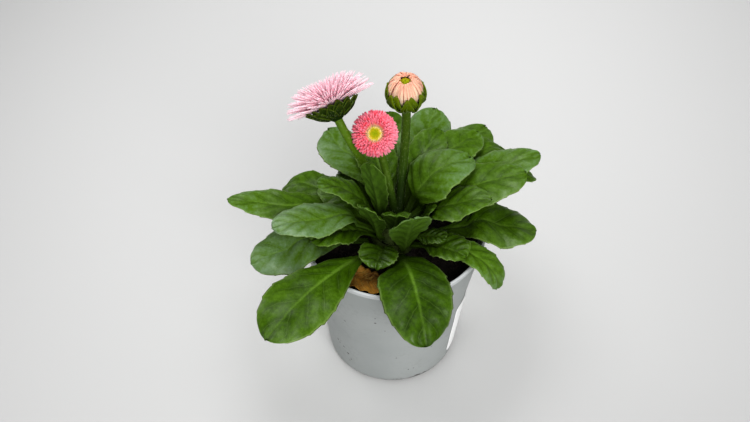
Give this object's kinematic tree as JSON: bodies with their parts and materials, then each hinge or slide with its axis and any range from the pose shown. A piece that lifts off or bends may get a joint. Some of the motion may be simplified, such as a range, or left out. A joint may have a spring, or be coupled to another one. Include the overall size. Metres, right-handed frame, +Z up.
{
  "type": "potted english daisy",
  "caption": "Small double-flowered daisy in a round grey nursery pot: a rosette of spoon-shaped toothed leaves, a pale pink flower, a rose flower and a peach bud on upright stems.",
  "frame": {"origin": "centre of the flat underside of the pot", "axes": "+Z up, -Y towards the side the picture shows, +X to its right"},
  "size_m": [0.1512, 0.1551, 0.1716],
  "materials": {
    "pot_grey": "smooth semi-matt grey nursery pot",
    "label_white": "blank matt white sticker",
    "soil_dark": "dark damp potting soil",
    "crown_green": "green-brown rootstock",
    "leaf_green": "slightly shiny green leaf",
    "dry_brown": "withered orange-brown leaf",
    "stem_green": "hairy green stem and bracts",
    "disc_yellow": "yellow-green disc florets",
    "pale_pink": "pale pink ray florets",
    "rose_pink": "rose ray florets",
    "peach_pink": "peach ray florets"
  },
  "bodies": {
    "root": {"pot": "pot_grey", "label": "label_white", "soil": "soil_dark", "crown": "crown_green", "dry_leaf": "dry_brown", "leaf_01": "leaf_green", "leaf_02": "leaf_green", "leaf_03": "leaf_green", "leaf_04": "leaf_green", "leaf_05": "leaf_green", "leaf_06": "leaf_green", "leaf_07": "leaf_green", "leaf_08": "leaf_green", "leaf_09": "leaf_green", "leaf_10": "leaf_green", "leaf_11": "leaf_green", "leaf_12": "leaf_green", "leaf_13": "leaf_green", "leaf_14": "leaf_green", "leaf_15": "leaf_green", "leaf_16": "leaf_green", "leaf_17": "leaf_green", "leaf_18": "leaf_green", "leaf_19": "leaf_green", "leaf_20": "leaf_green", "leaf_21": "leaf_green", "leaf_22": "leaf_green", "leaf_23": "leaf_green", "leaf_24": "leaf_green", "leaf_25": "leaf_green", "leaf_26": "leaf_green", "leaf_27": "leaf_green", "leaf_28": "leaf_green", "leaf_29": "leaf_green", "leaf_30": "leaf_green", "leaf_31": "leaf_green", "leaf_32": "leaf_green", "leaf_33": "leaf_green", "leaf_34": "leaf_green", "leaf_35": "leaf_green", "open_flower_stem": "stem_green", "open_flower_rays": "pale_pink", "open_flower_disc": "disc_yellow", "half_open_flower_stem": "stem_green", "half_open_flower_rays": "rose_pink", "half_open_flower_disc": "disc_yellow", "bud_stem": "stem_green", "bud_rays": "peach_pink", "bud_disc": "disc_yellow"}
  },
  "joints": []
}
